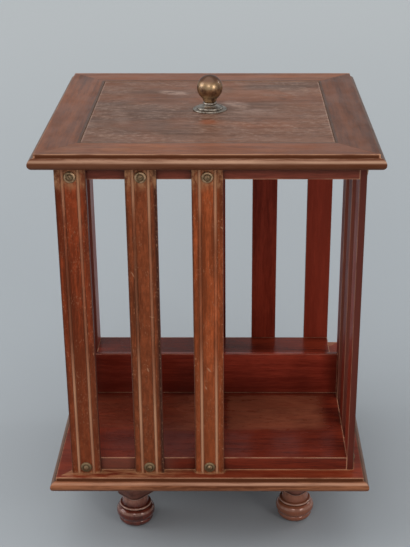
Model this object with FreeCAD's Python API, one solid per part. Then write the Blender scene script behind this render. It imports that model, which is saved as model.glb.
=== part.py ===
import FreeCAD, Part
import math
import os

# Revolving desktop bookcase in mahogany: a square case of four book compartments
# that turns on a steel spindle, on a cross base with four turned feet.
# Millimetres, +Z up. The origin is on the floor, on the spindle's axis. -Y is the front.

V = FreeCAD.Vector
UP = V(0, 0, 1)
CENTRE = V(0, 0, 0)
FACES = ("front", "right", "back", "left")
CORNERS = ("front_left", "front_right", "back_right", "back_left")
QUARTER = 90.0
QUARTER_BOW = 1 - math.sqrt(0.5)    # rise of a quarter circle over its chord, for a radius of 1

# ---------------------------------------------------------------- driving dimensions
# Case
case_width = 350.0            # square over the mouldings
clear_height = 322.5          # between the plinth board and the sub-top
top_thickness = 15.5
sub_top_thickness = 15.5
plinth_thickness = 15.5
base_board_thickness = 15.8
overhang = 16.0               # mouldings past the slats' faces
quirk_depth = 3.7             # step down from a board's face to its half-round edge

# Top frame and panel
rail_width = 46.5
panel_groove = 0.5            # open joint round the panel
panel_sink = 0.4              # panel's face below the frame's
tongue_thickness = 5.0
tongue_length = 6.0
tongue_drop = 5.0             # from the frame's face to the tongue
tongue_clearance = 0.15

# Slats
slat_width = 31.6
slat_thickness = 7.2
slat_arris = 0.8
middle_slat_shift = 1.8       # from half-way between its neighbours, towards the centre slat
reed_width = 3.0
reed_rise = 0.8
reed_gap = 0.1                # between a reed and the cup washers
reed_quirk_width = 0.5
reed_quirk_depth = 0.45

# Slat screws and their cup washers
upper_screw_rise = 4.5        # upper screws above the sub-top's underside
screw_shank_radius = 1.5
screw_head_radius = 3.3
screw_head_height = 2.0
screw_grip = 12.0             # length held in the board's edge
screw_slot_width = 0.8
screw_slot_depth = 0.9
screw_slot_turn = 37.0        # each slot is turned this many degrees past the last one
cup_radius = 6.2
cup_height = 1.9
cup_bow = 0.5                 # roundness of its outer slope
cup_rim_width = 0.4
cup_flare = 0.3               # of its mouth, towards the rim
cup_head_gap = 0.4            # round the screw's head
cup_seat_height = 0.9
hole_clearance = 0.1

# Dividers and column
divider_thickness = 6.0
divider_height = 53.0
divider_rounding = 1.2
column_width = 26.0
column_chamfer = 2.0
column_bore_clearance = 1.0   # round the spindle

# Cross base
stand_turn = 3.0              # cross base away from the case's diagonals, degrees
foot_circle_radius = 133.0
bar_width = 35.0
bar_depth = 28.5
bar_chamfer = 2.0             # round its top
bar_arris = 1.2               # chamfer round its underside
bar_corner = 10.0             # rounding of its ends' corners
block_radius = 55.0
block_height = 16.0
block_rounding = 5.0
turning_gap = 3.2             # between the pivot block and the base board

# Turned feet; the insets are from the bun's radius
foot_height = 38.5
foot_radius = 22.4
foot_tread_inset = 8.4
foot_base_round = 6.5         # level of the base's widest line
foot_base_inset = 2.4
foot_base_bow = 1.3
foot_base_height = 8.8
foot_base_top_inset = 3.2
foot_base_top_bow = 0.2
foot_step = 0.3               # height of the small steps between the mouldings
foot_bun_inset = 2.8
foot_bun_top = 22.6
foot_bun_top_inset = 3.6
foot_bun_bow = 3.2
foot_shoulder_top = 23.2
foot_shoulder_bow = 0.1
foot_ring_height = 2.8
foot_ring_inset = 5.0
foot_ring_bow = 1.25
foot_neck_margin = 2.5        # bar's side past the neck
foot_neck_flare = 0.6
foot_neck_hollow = 0.3
foot_spigot_radius = 6.0
foot_spigot_length = 12.0

# Spindle, bushes and their fixings
spindle_radius = 6.0
spindle_running = 0.05        # radial clearance in the bushes
spindle_end_clearance = 0.3
thrust_clearance = 0.1
thrust_washer_margin = 2.0    # past the lower bush's flange
collar_width = 4.0
collar_clearance = 1.2        # under the lower bush
plate_radius = 32.0
plate_thickness = 3.0
plate_screw_edge = 8.0        # from the plate's edge to its screws
plate_screw_radius = 1.8
plate_screw_head_radius = 3.6
plate_screw_land = 0.6        # plate left under a screw's head
plate_screw_grip = 13.0
bush_wall = 3.0
lower_flange_width = 11.0
lower_flange_thickness = 2.5
upper_flange_width = 4.0
upper_flange_thickness = 2.0
retaining_well_clearance = 0.5
retaining_headroom = 0.9      # over the retaining nut
retaining_nut_height = 5.0
washer_width = 5.0
washer_thickness = 1.5
nut_wall = 3.5                # at the flats
foot_nut_height = 5.4
foot_nut_recess = 0.3         # nut's face above the bar's underside
foot_nut_clearance = 2.0      # round the nut's corners

# Screws through the boards
board_screw_radius = 1.8
board_screw_head_radius = 3.8
board_screw_head_height = 2.4
base_screw_inset = 34.0       # from the inner boards' edges
base_screw_grip = 10.5
top_screw_grip = 10.5

# Knob
knob_ball_radius = 14.0
knob_ball_root_radius = 6.2
knob_ball_flare_radius = 8.7  # where its short taper meets the sphere
knob_ball_lift = 1.8          # sphere's lowest point above its root
knob_neck_radius = 7.6
knob_neck_height = 2.8
knob_neck_bow = 0.9
knob_flange_radius = 18.6
knob_flange_height = 5.8
knob_plate_height = 1.5
knob_plate_slope = 0.7
knob_plate_bow = 0.4
knob_plate_rise = 0.3         # from its edge to the crown ring
knob_crown_inset = 4.0        # crown ring's foot from the flange's edge
knob_crown_height = 3.7
knob_crown_slope = 1.6
knob_crown_bow = 0.6
knob_crown_width = 1.4
knob_crown_fall = 0.2
knob_waist_inset = 0.6        # flange's top in from the neck
knob_waist_hollow = 0.55
knob_stud_radius = 2.5
knob_stud_depth = 11.0        # into the panel
knob_stud_rise = 8.0          # into the ball

# ---------------------------------------------------------------- levels and half widths
case_half = case_width / 2
slat_face = case_half - overhang
inner_half = slat_face - slat_thickness
panel_opening = case_half - rail_width

bar_bottom = foot_height
bar_top = bar_bottom + bar_depth
block_top = bar_top + block_height
base_bottom = block_top + turning_gap
base_top = base_bottom + base_board_thickness
plinth_top = base_top + plinth_thickness
sub_top_bottom = plinth_top + clear_height
top_bottom = sub_top_bottom + sub_top_thickness
top_face = top_bottom + top_thickness
panel_face = top_face - panel_sink

corner_slat = inner_half - slat_width / 2
middle_slat = corner_slat / 2 - middle_slat_shift
SLATS = (("corner", -corner_slat), ("middle", -middle_slat), ("centre", 0.0))
reed_offset = cup_radius + reed_gap + reed_width / 2

lower_screw_level = base_top + plinth_thickness / 2
upper_screw_level = sub_top_bottom + upper_screw_rise
SCREW_LEVELS = (lower_screw_level, upper_screw_level)
shank_hole = screw_shank_radius + hole_clearance

groove_end = panel_opening + tongue_length
groove_top = top_face - tongue_drop
groove_bottom = groove_top - tongue_thickness
base_screws_at = inner_half - base_screw_inset
top_screws_at = (groove_end + inner_half) / 2
top_screws_along = (corner_slat + middle_slat) / 2

stand_angle = -135.0 + stand_turn
foot_neck_radius = bar_width / 2 - foot_neck_margin
spindle_hole = spindle_radius + hole_clearance
collar_radius = spindle_radius + collar_width
bush_radius = spindle_radius + spindle_running + bush_wall
bush_hole = bush_radius + hole_clearance
lower_flange_radius = bush_radius + lower_flange_width
upper_flange_radius = bush_radius + upper_flange_width
washer_radius = spindle_radius + washer_width
nut_across_flats = 2 * (spindle_radius + nut_wall)
nut_reach = nut_across_flats / math.sqrt(3)
plate_screw_circle = plate_radius - plate_screw_edge

foot_nut_bottom = bar_bottom + foot_nut_recess
foot_nut_top = foot_nut_bottom + foot_nut_height
nut_well_top = foot_nut_top + washer_thickness
retaining_stack = upper_flange_thickness + thrust_clearance + washer_thickness + retaining_nut_height
well_floor = top_bottom - retaining_headroom - retaining_stack
upper_flange_top = well_floor + upper_flange_thickness
retaining_washer_bottom = upper_flange_top + thrust_clearance
retaining_nut_bottom = retaining_washer_bottom + washer_thickness

neck_bottom = panel_face + knob_flange_height
ball_root = neck_bottom + knob_neck_height


# ---------------------------------------------------------------- shape helpers
def box(low, high):
    """Return the box between two opposite corners."""
    size = V(*high) - V(*low)
    return Part.makeBox(size.x, size.y, size.z, V(*low))


def disc(radius, bottom, top, x=0.0, y=0.0):
    """Return an upright cylinder between two levels."""
    return Part.makeCylinder(radius, top - bottom, V(x, y, bottom))


def ring(outer, inner, bottom, top):
    """Return an upright tube between two levels, on the axis."""
    return disc(outer, bottom, top).cut(disc(inner, bottom, top))


def square_ring(outer, inner, bottom, top):
    """Return a square frame of plain section, on the axis."""
    return box((-outer, -outer, bottom), (outer, outer, top)).cut(
        box((-inner, -inner, bottom), (inner, inner, top)))


def turned_about(shape, degrees):
    """Return a copy of the shape, turned about the spindle's axis."""
    copy = shape.copy()
    copy.rotate(CENTRE, UP, degrees)
    return copy


def moved(shape, x=0.0, y=0.0, z=0.0):
    """Return a copy of the shape, moved."""
    copy = shape.copy()
    copy.translate(V(x, y, z))
    return copy


def upside_down(shape):
    """Return a copy of the shape, turned over about the X axis."""
    copy = shape.copy()
    copy.rotate(CENTRE, V(1, 0, 0), 180.0)
    return copy


def on_face(shape, x, z, face_distance, face):
    """Return a shape made along +Z, set on one face of the case, pointing outwards."""
    copy = shape.copy()
    copy.rotate(CENTRE, V(1, 0, 0), 90.0)
    copy.translate(V(x, -face_distance, z))
    return turned_about(copy, QUARTER * face)


def edge(start, end, bow, point):
    """Return the edge between two flat points: straight, or an arc that stands off by its bow."""
    if not bow:
        return Part.LineSegment(point(start), point(end)).toShape()
    across = end[0] - start[0]
    along = end[1] - start[1]
    share = bow / math.hypot(across, along)
    middle = ((start[0] + end[0]) / 2 + along * share, (start[1] + end[1]) / 2 - across * share)
    return Part.Arc(point(start), point(middle), point(end)).toShape()


def closed_face(start, steps, point):
    """Return the face inside an outline that runs anticlockwise from its start.

    A step is the next flat point, with the outward bow of its side as a third number
    if that side is an arc. point() turns a flat point into a vector.
    """
    edges = []
    here = start
    for step in list(steps) + [start]:
        there = step[:2]
        if there != here:
            edges.append(edge(here, there, sum(step[2:]), point))
            here = there
    return Part.Face(Part.Wire(edges))


def turning(start, steps):
    """Return the solid turned about Z from an outline of (radius, level) points."""
    face = closed_face(start, steps, lambda p: V(p[0], 0, p[1]))
    return face.revolve(CENTRE, UP, 360.0)


def extrusion(start, steps, bottom, top):
    """Return the solid over a plan outline of (x, y) points."""
    face = closed_face(start, steps, lambda p: V(p[0], p[1], bottom))
    return face.extrude(UP * (top - bottom))


def dome_bow(radius, height):
    """Return the bow of a round dome's side, from its rim to its top on the axis."""
    chord = math.hypot(radius, height)
    sphere = chord ** 2 / (2 * height)
    return sphere - math.sqrt(sphere ** 2 - chord ** 2 / 4)


def countersunk_screw(radius, head_radius, head_height, length):
    """Return a countersunk screw on the axis: its head's face at z = 0, its point up."""
    return turning((0, 0), [(head_radius, 0), (radius, head_height), (radius, length - radius),
                            (0, length)])


def countersunk_hole(radius, head_radius, head_height, length):
    """Return the space for such a screw, with its clearance."""
    gap = hole_clearance
    return countersunk_screw(radius + gap, head_radius + gap, head_height, length + 2 * gap)


# ---------------------------------------------------------------- boards
def moulded_board(bottom, thickness):
    """Return a square board with a quirked half-round edge all round."""
    radius = (thickness - quirk_depth) / 2
    flat = case_half - radius
    steps = [(flat, 0), (flat, 2 * radius, radius), (flat, thickness), (-flat, thickness),
             (-flat, 2 * radius), (-flat, 0, radius)]
    along_y = closed_face((-flat, 0), steps, lambda p: V(p[0], -case_half, p[1] + bottom))
    along_x = closed_face((-flat, 0), steps, lambda p: V(-case_half, p[0], p[1] + bottom))
    return along_y.extrude(V(0, case_width, 0)).common(along_x.extrude(V(case_width, 0, 0)))


def edge_holes(level):
    """Return the pilot holes for the slat screws in one board's edges."""
    drill = disc(shank_hole, -screw_grip - hole_clearance, 0)
    return [on_face(drill, x, level, inner_half, face)
            for face in range(len(FACES)) for _, x in SLATS]


def base_screw_places():
    """Return the plan positions of the base board's screws."""
    rows = (-base_screws_at, 0, base_screws_at)
    return [(x, y) for x in rows for y in rows if (x, y) != (0, 0)]


def top_screw_places():
    """Return the plan positions of the screws that hold the top frame, between the slats."""
    places = []
    for face in range(len(FACES)):
        turn = FreeCAD.Rotation(UP, QUARTER * face)
        for x in (-top_screws_along, top_screws_along):
            place = turn.multVec(V(x, -top_screws_at, 0))
            places.append((place.x, place.y))
    return places


def board_screws(places, bottom, length, shape):
    """Return one screw, or its hole, at each place."""
    one = shape(board_screw_radius, board_screw_head_radius, board_screw_head_height, length)
    return [moved(one, x, y, bottom) for x, y in places]


def base_screws(shape=countersunk_screw):
    """Return the screws up through the base board into the plinth board, or their holes."""
    length = base_board_thickness + base_screw_grip
    return board_screws(base_screw_places(), base_bottom, length, shape)


def top_screws(shape=countersunk_screw):
    """Return the screws up through the sub-top into the top frame, or their holes."""
    length = sub_top_thickness + top_screw_grip
    return board_screws(top_screw_places(), sub_top_bottom, length, shape)


def make_base_board():
    """Return the moulded board under the case, recessed for the lower bush."""
    board = moulded_board(base_bottom, base_board_thickness)
    recess = disc(lower_flange_radius + hole_clearance, base_bottom,
                  base_bottom + lower_flange_thickness)
    bore = disc(bush_hole, base_bottom, base_top)
    return board.cut([recess, bore] + base_screws(countersunk_hole))


def make_plinth():
    """Return the floor board of the compartments."""
    board = box((-inner_half, -inner_half, base_top), (inner_half, inner_half, plinth_top))
    bore = disc(bush_hole, base_top, plinth_top)
    return board.cut([bore] + base_screws(countersunk_hole) + edge_holes(lower_screw_level))


def make_sub_top():
    """Return the board under the top, with the well for the retaining nut."""
    board = box((-inner_half, -inner_half, sub_top_bottom), (inner_half, inner_half, top_bottom))
    bore = disc(bush_hole, sub_top_bottom, well_floor)
    well = disc(upper_flange_radius + retaining_well_clearance, well_floor, top_bottom)
    return board.cut([bore, well] + top_screws(countersunk_hole) + edge_holes(upper_screw_level))


def make_top_rails():
    """Return the four mitred rails of the top frame, front first."""
    frame = moulded_board(top_bottom, top_thickness)
    opening = box((-panel_opening, -panel_opening, top_bottom),
                  (panel_opening, panel_opening, top_face))
    groove = square_ring(groove_end, panel_opening, groove_bottom, groove_top)
    frame = frame.cut([opening, groove] + top_screws(countersunk_hole))
    wedge = extrusion((0, 0), [(-case_width, -case_width), (case_width, -case_width)],
                      top_bottom, top_face)
    return [frame.common(turned_about(wedge, QUARTER * face)) for face in range(len(FACES))]


def make_top_panel():
    """Return the panel, tongued into the rails and bored for the knob's stud."""
    side = panel_opening - panel_groove
    body = box((-side, -side, top_bottom), (side, side, panel_face))
    tongue = square_ring(groove_end - tongue_clearance, side, groove_bottom + tongue_clearance,
                         groove_top - tongue_clearance)
    return body.fuse(tongue).cut(stud_hole(panel_face - knob_stud_depth - hole_clearance,
                                           panel_face))


# ---------------------------------------------------------------- slats and their screws
def slat_outline():
    """Return the start and steps of a slat's plan section, at x = 0 on the front face."""
    half = slat_width / 2
    back = -inner_half
    front = -slat_face
    corner_bow = slat_arris * QUARTER_BOW
    reed_floor = front + reed_quirk_depth
    reed_half = reed_width / 2
    steps = [(-half, front + slat_arris), (-half + slat_arris, front, corner_bow)]
    for reed in (-reed_offset, reed_offset):
        steps += [(reed - reed_half - reed_quirk_width, front), (reed - reed_half, reed_floor),
                  (reed + reed_half, reed_floor, reed_rise + reed_quirk_depth),
                  (reed + reed_half + reed_quirk_width, front)]
    steps += [(half - slat_arris, front), (half, front + slat_arris, corner_bow), (half, back)]
    return (-half, back), steps


def make_slat(x, face):
    """Return one reeded slat, bored for its two screws."""
    start, steps = slat_outline()
    slat = extrusion(start, steps, base_top, top_bottom)
    drill = disc(shank_hole, -slat_thickness, reed_rise)
    slat = slat.cut([on_face(drill, 0, level, slat_face, 0) for level in SCREW_LEVELS])
    return turned_about(moved(slat, x), QUARTER * face)


def make_cup_washer():
    """Return a cup washer along Z, standing on the slat's face at z = 0."""
    seat = screw_head_radius + cup_head_gap
    mouth = seat + cup_flare
    return turning((shank_hole, 0), [(cup_radius, 0), (mouth + cup_rim_width, cup_height, cup_bow),
                                     (mouth, cup_height), (seat, cup_seat_height),
                                     (shank_hole, cup_seat_height)])


def make_slat_screw(turn):
    """Return a round-head screw along Z, its head outwards, with its slot turned."""
    head_base = cup_seat_height
    head_top = head_base + screw_head_height
    point = -slat_thickness - screw_grip
    screw = turning((0, point), [(screw_shank_radius, point + screw_shank_radius),
                                 (screw_shank_radius, head_base), (screw_head_radius, head_base),
                                 (0, head_top, dome_bow(screw_head_radius, screw_head_height))])
    slot = box((-screw_slot_width / 2, -screw_head_radius, head_top - screw_slot_depth),
               (screw_slot_width / 2, screw_head_radius, head_top + screw_slot_depth))
    return turned_about(screw.cut(slot), turn)


def at_slat_ends(make):
    """Return what make(index) gives, at each end of each slat."""
    shapes = []
    for face in range(len(FACES)):
        for _, x in SLATS:
            for level in SCREW_LEVELS:
                shapes.append(on_face(make(len(shapes)), x, level, slat_face, face))
    return shapes


# ---------------------------------------------------------------- inside the case
def make_divider(face):
    """Return the low divider from the column to the centre slat of one face."""
    half = divider_thickness / 2
    top = plinth_top + divider_height
    soft = divider_rounding
    steps = [(half, plinth_top), (half, top - soft), (half - soft, top, soft * QUARTER_BOW),
             (-half + soft, top), (-half, top - soft, soft * QUARTER_BOW)]
    section = closed_face((-half, plinth_top), steps, lambda p: V(p[0], -inner_half, p[1]))
    divider = section.extrude(V(0, inner_half - column_width / 2, 0))
    return turned_about(divider, QUARTER * face)


def make_column():
    """Return the square column round the spindle, its corners chamfered."""
    half = column_width / 2
    cut = half - column_chamfer
    steps = [(cut, -half), (half, -cut), (half, cut), (cut, half), (-cut, half), (-half, cut),
             (-half, -cut)]
    column = extrusion((-cut, -half), steps, plinth_top, sub_top_bottom)
    bore = disc(spindle_radius + column_bore_clearance, plinth_top, sub_top_bottom)
    return column.cut(bore)


# ---------------------------------------------------------------- cross base
def plate_screws(shape=countersunk_screw):
    """Return the four screws through the plate and the block into the bars, or their holes."""
    length = block_height + plate_screw_grip
    one = upside_down(shape(plate_screw_radius, plate_screw_head_radius,
                            plate_thickness - plate_screw_land, length))
    one = moved(one, plate_screw_circle, 0, block_top)
    return [turned_about(one, stand_angle + QUARTER * arm) for arm in range(len(CORNERS))]


def plain_bar():
    """Return a whole bar along X, rounded at its corners, bored for the feet and the spindle."""
    half = bar_width / 2
    length = foot_circle_radius + half
    straight = length - bar_corner
    flat = half - bar_corner
    bow = bar_corner * QUARTER_BOW
    bar = extrusion((-straight, -half), [
        (straight, -half), (length, -flat, bow), (length, flat), (straight, half, bow),
        (-straight, half), (-length, flat, bow), (-length, -flat), (-straight, -half, bow)],
        bar_bottom, bar_top)
    for level, size in ((bar_bottom, bar_arris), (bar_top, bar_chamfer)):
        rim = [side for side in bar.Edges if abs(side.CenterOfMass.z - level) < size]
        bar = bar.makeChamfer(size, rim)
    mortises = [disc(foot_spigot_radius + hole_clearance, bar_bottom,
                     bar_bottom + foot_spigot_length + hole_clearance, x)
                for x in (-foot_circle_radius, foot_circle_radius)]
    nut_well = disc(nut_reach + foot_nut_clearance, bar_bottom, nut_well_top)
    return bar.cut(mortises + [disc(spindle_hole, bar_bottom, bar_top), nut_well])


def make_bar(upper):
    """Return one of the two half-lapped bars of the cross base."""
    half = bar_width / 2
    lap = bar_bottom + bar_depth / 2
    low, high = (bar_bottom, lap) if upper else (lap, bar_top)
    bar = plain_bar().cut(box((-half, -half, low), (half, half, high)))
    bar = turned_about(bar, stand_angle + (QUARTER if upper else 0))
    return bar.cut(plate_screws(countersunk_hole))


def make_foot(corner):
    """Return one turned bun foot, from its tread up to the spigot in the bar."""
    radius = foot_radius
    neck = foot_neck_radius
    ring_bottom = foot_shoulder_top + foot_step
    ring_top = ring_bottom + foot_ring_height
    spigot_top = foot_height + foot_spigot_length
    outline = [
        (radius - foot_tread_inset, 0),
        (radius - foot_base_inset, foot_base_round, foot_base_bow),
        (radius - foot_base_top_inset, foot_base_height, foot_base_top_bow),
        (radius - foot_bun_inset, foot_base_height + foot_step),
        (radius - foot_bun_top_inset, foot_bun_top, foot_bun_bow),
        (radius - foot_ring_inset, foot_shoulder_top, foot_shoulder_bow),
        (radius - foot_ring_inset, ring_bottom),
        (radius - foot_ring_inset, ring_top, foot_ring_bow),
        (neck + foot_neck_flare, ring_top + foot_step),
        (neck, foot_height, -foot_neck_hollow),
        (foot_spigot_radius, foot_height), (foot_spigot_radius, spigot_top), (0, spigot_top)]
    foot = moved(turning((0, 0), outline), foot_circle_radius)
    return turned_about(foot, stand_angle + QUARTER * corner)


def make_pivot_block():
    """Return the round block on the cross base that carries the spindle plate."""
    shoulder = block_top - block_rounding
    block = turning((0, bar_top), [
        (block_radius, bar_top), (block_radius, shoulder),
        (block_radius - block_rounding, block_top, block_rounding * QUARTER_BOW), (0, block_top)])
    recess = disc(plate_radius + hole_clearance, block_top - plate_thickness, block_top)
    bore = disc(spindle_hole, bar_top, block_top)
    return block.cut([recess, bore] + plate_screws(countersunk_hole))


# ---------------------------------------------------------------- spindle and bushes
def make_spindle():
    """Return the spindle with the collar that stands on its plate."""
    shaft = disc(spindle_radius, bar_bottom + hole_clearance, top_bottom - spindle_end_clearance)
    return shaft.fuse(disc(collar_radius, block_top, base_bottom - collar_clearance))


def make_spindle_plate():
    """Return the round plate let into the pivot block."""
    plate = ring(plate_radius, spindle_hole, block_top - plate_thickness, block_top)
    return plate.cut(plate_screws(countersunk_hole))


def make_thrust_washer():
    """Return the washer that carries the case, under the lower bush's flange."""
    return ring(lower_flange_radius + thrust_washer_margin, collar_radius + hole_clearance,
                block_top, base_bottom - thrust_clearance)


def flanged_bush(bottom, top, flange_bottom, flange_top, flange_radius):
    """Return a bush on the spindle, with its flange between two levels."""
    barrel = disc(bush_radius, bottom, top)
    flange = disc(flange_radius, flange_bottom, flange_top)
    return barrel.fuse(flange).cut(disc(spindle_radius + spindle_running, bottom, top))


def make_lower_bush():
    """Return the bush through the base and plinth boards, its flange underneath."""
    return flanged_bush(base_bottom, plinth_top, base_bottom,
                        base_bottom + lower_flange_thickness, lower_flange_radius)


def make_upper_bush():
    """Return the bush in the sub-top, its flange on the floor of the well."""
    return flanged_bush(sub_top_bottom, upper_flange_top, well_floor, upper_flange_top,
                        upper_flange_radius)


def make_nut(bottom, top):
    """Return a hexagon nut on the spindle."""
    angles = [math.radians(60 * corner) for corner in range(6)]
    corners = [(nut_reach * math.cos(angle), nut_reach * math.sin(angle)) for angle in angles]
    return extrusion(corners[0], corners[1:], bottom, top).cut(disc(spindle_hole, bottom, top))


def make_washer(bottom, top):
    """Return a plain washer on the spindle."""
    return ring(washer_radius, spindle_hole, bottom, top)


# ---------------------------------------------------------------- knob
def stud_hole(bottom, top):
    """Return the hole round the knob's stud between two levels."""
    return disc(knob_stud_radius + hole_clearance, bottom, top)


def make_knob_flange():
    """Return the stepped flange: a plate, a crown ring and a waist up to the neck."""
    outer = knob_flange_radius
    crown = outer - knob_crown_inset
    crown_inside = crown - knob_crown_slope - knob_crown_width
    flange = turning((0, 0), [
        (outer, 0), (outer - knob_plate_slope, knob_plate_height, knob_plate_bow),
        (crown, knob_plate_height + knob_plate_rise),
        (crown - knob_crown_slope, knob_crown_height, knob_crown_bow),
        (crown_inside, knob_crown_height - knob_crown_fall),
        (knob_neck_radius - knob_waist_inset, knob_flange_height, -knob_waist_hollow),
        (0, knob_flange_height)])
    return moved(flange, z=panel_face).cut(stud_hole(panel_face, neck_bottom))


def make_knob_neck():
    """Return the bead between the flange and the ball."""
    inside = knob_neck_radius - knob_neck_bow
    neck = turning((0, 0), [(inside, 0), (inside, knob_neck_height, knob_neck_bow),
                            (0, knob_neck_height)])
    return moved(neck, z=neck_bottom).cut(stud_hole(neck_bottom, ball_root))


def make_knob_ball():
    """Return the ball, with the short taper at its root."""
    centre = ball_root + knob_ball_lift + knob_ball_radius
    sphere = Part.makeSphere(knob_ball_radius, V(0, 0, centre))
    meeting = centre - math.sqrt(knob_ball_radius ** 2 - knob_ball_flare_radius ** 2)
    taper = Part.makeCone(knob_ball_root_radius, knob_ball_flare_radius, meeting - ball_root,
                          V(0, 0, ball_root))
    return sphere.fuse(taper).cut(stud_hole(ball_root,
                                            ball_root + knob_stud_rise + hole_clearance))


def make_knob_stud():
    """Return the plain stud from the panel up into the ball."""
    return disc(knob_stud_radius, panel_face - knob_stud_depth, ball_root + knob_stud_rise)


# ---------------------------------------------------------------- all the pieces
def build():
    """Return every piece of the bookcase by name."""
    pieces = {
        "cross_bar_lower": make_bar(upper=False),
        "cross_bar_upper": make_bar(upper=True),
        "pivot_block": make_pivot_block(),
        "spindle": make_spindle(),
        "spindle_plate": make_spindle_plate(),
        "spindle_plate_screws": plate_screws(),
        "thrust_washer": make_thrust_washer(),
        "foot_nut_washer": make_washer(foot_nut_top, nut_well_top),
        "foot_nut": make_nut(foot_nut_bottom, foot_nut_top),
        "retaining_washer": make_washer(retaining_washer_bottom, retaining_nut_bottom),
        "retaining_nut": make_nut(retaining_nut_bottom, retaining_nut_bottom + retaining_nut_height),
        "base_board": make_base_board(),
        "base_board_screws": base_screws(),
        "plinth_board": make_plinth(),
        "column": make_column(),
        "lower_bush": make_lower_bush(),
        "upper_bush": make_upper_bush(),
        "sub_top": make_sub_top(),
        "top_screws": top_screws(),
        "top_panel": make_top_panel(),
        "knob_flange": make_knob_flange(),
        "knob_neck": make_knob_neck(),
        "knob_ball": make_knob_ball(),
        "knob_stud": make_knob_stud(),
        "slat_cup_washers": at_slat_ends(lambda index: make_cup_washer()),
        "slat_screws": at_slat_ends(lambda index: make_slat_screw(screw_slot_turn * index)),
    }
    for index, corner in enumerate(CORNERS):
        pieces["foot_" + corner] = make_foot(index)
    for rail, face in zip(make_top_rails(), FACES):
        pieces["top_rail_" + face] = rail
    for index, face in enumerate(FACES):
        pieces["divider_" + face] = make_divider(index)
        for place, x in SLATS:
            pieces["slat_" + face + "_" + place] = make_slat(x, index)
    return pieces


def solids_of(shape):
    """Return the cleaned solids of one shape or of a list of shapes."""
    shapes = shape if isinstance(shape, list) else [shape]
    return [solid for one in shapes for solid in one.removeSplitter().Solids]


def export(pieces, folder):
    """Write one STEP file per piece, and stop if a piece isn't sound."""
    for name, shape in sorted(pieces.items()):
        solids = solids_of(shape)
        if not solids or not all(solid.isValid() for solid in solids):
            raise ValueError(name + " isn't a sound solid")
        whole = solids[0] if len(solids) == 1 else Part.makeCompound(solids)
        whole.exportStep(os.path.join(folder, name + ".step"))
        print(name, len(solids), round(whole.Volume, 1))


os.makedirs("parts", exist_ok=True)
export(build(), "parts")
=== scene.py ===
import math
from functools import cached_property

import bpy
from bpy.props import FloatProperty, FloatVectorProperty, PointerProperty
from mathutils import Matrix, Vector


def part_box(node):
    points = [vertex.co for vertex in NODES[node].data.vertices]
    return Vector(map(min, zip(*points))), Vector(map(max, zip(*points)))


bl_info = {
    "name": "Revolving Bookcase",
    "version": (1, 0, 0),
    "blender": (4, 5, 0),
    "location": "View3D > Sidebar > Bookcase",
    "description": "Finishes and stage for a mahogany revolving desktop bookcase",
    "category": "Object",
}

# Metres, +Z up. The origin is on the floor, on the spindle's axis. -Y is the front.
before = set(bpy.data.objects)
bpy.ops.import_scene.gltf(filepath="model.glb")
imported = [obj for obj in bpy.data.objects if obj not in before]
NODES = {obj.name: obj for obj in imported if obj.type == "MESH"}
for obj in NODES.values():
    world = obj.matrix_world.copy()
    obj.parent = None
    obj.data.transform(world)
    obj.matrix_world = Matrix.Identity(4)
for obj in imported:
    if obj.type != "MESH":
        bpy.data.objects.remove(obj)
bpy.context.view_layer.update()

FACES = ("front", "right", "back", "left")
CORNERS = ("front_left", "front_right", "back_right", "back_left")
ALONG_X, ALONG_Y, ALONG_Z = 0, 1, 2


def heights(node):
    """Return a node's lowest and highest points above the floor."""
    low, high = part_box(node)
    return low.z, high.z


# Where the pieces lie.
RAIL_BOTTOM, RAIL_TOP = heights("top_rail_front")
BASE_BOTTOM, BASE_TOP = heights("base_board")
SLAT_BOTTOM, SLAT_TOP = heights("slat_front_corner")
PANEL_TOP = heights("top_panel")[1]
BALL_TOP = heights("knob_ball")[1]
BAR_BOTTOM = heights("cross_bar_lower")[0]
PLINTH_EDGE, _, PLINTH_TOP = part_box("plinth_board")[1]
FOOT_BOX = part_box("foot_front_left")
FOOT_PLACE = (FOOT_BOX[0] + FOOT_BOX[1]) / 2
STAND_ANGLE = math.atan2(FOOT_PLACE.y, FOOT_PLACE.x)  # of the lower bar
FOOT_RING = 0.0249                            # height of the feet's rings
ARRIS_REACH = 0.1691                          # boards' upper arrises from the axis
PANEL_EDGE = 0.1285                           # edge of the panel from the axis
SLAT_FACE = PLINTH_EDGE + 0.0072              # slats' outer faces from the axis
SLAT_HALF = 0.0159                            # half a slat's width
SLAT_PLACE = {"corner": 0.136, "middle": 0.0662, "centre": 0.0}  # from a face's middle
REED_PLACE = 0.0078                           # from a slat's middle

# Where painted light and shade, dirt and wear set in and are full. Bands also fade and end.
# Painted shade towards the dividers' feet and outer ends.
DIVIDER_FOOT_SHADE = (0.030, 0.006)                 # above the plinth board
DIVIDER_END_SHADE = (0.128, 0.142)                  # from the axis
# Painted shade on the sub-top under the top frame's overhang.
UNDER_RAIL_SHADE = (-0.0105, -0.004)                # above the top frame's underside
# Painted shade: the compartments' floor darkens to the left.
FLOOR_SHADE = (0.01, -0.03)                   # across the compartments' floor
FLOOR_RIM = (-0.0010, -0.0004)                # outward from the plinth board's edge
RIM_DUST = (-0.03, -0.06)                     # across the compartments' floor
BOOKS_DEPTH = (0.115, 0.098)                  # from the axis, front to back
# Painted shade: the books' wear weakens to the left.
BOOKS_SHADE_LEFT = (-0.06, 0.0)                     # across the compartments' floor
BOOKS_RIGHT = (0.140, 0.120)                  # across the compartments' floor
BOOKS_GAP = (0.006, 0.014)                    # from the side dividers' middle
UNWORN_STRIP, STRIP_GAP = 0.013, (0.003, 0.011)  # beside the front divider, and from there
BAR_SHADE = (0.0048, 0.0026)                  # above a bar's underside
BAR_ARRIS = (0.0001, 0.0003, 0.0012, 0.0018)  # above a bar's underside
FOOT_NECK = (0.0016, 0.0090)                  # above the ring
RING_CREST = (-0.0014, -0.0002, 0.0006, 0.0016)  # above the ring
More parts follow.
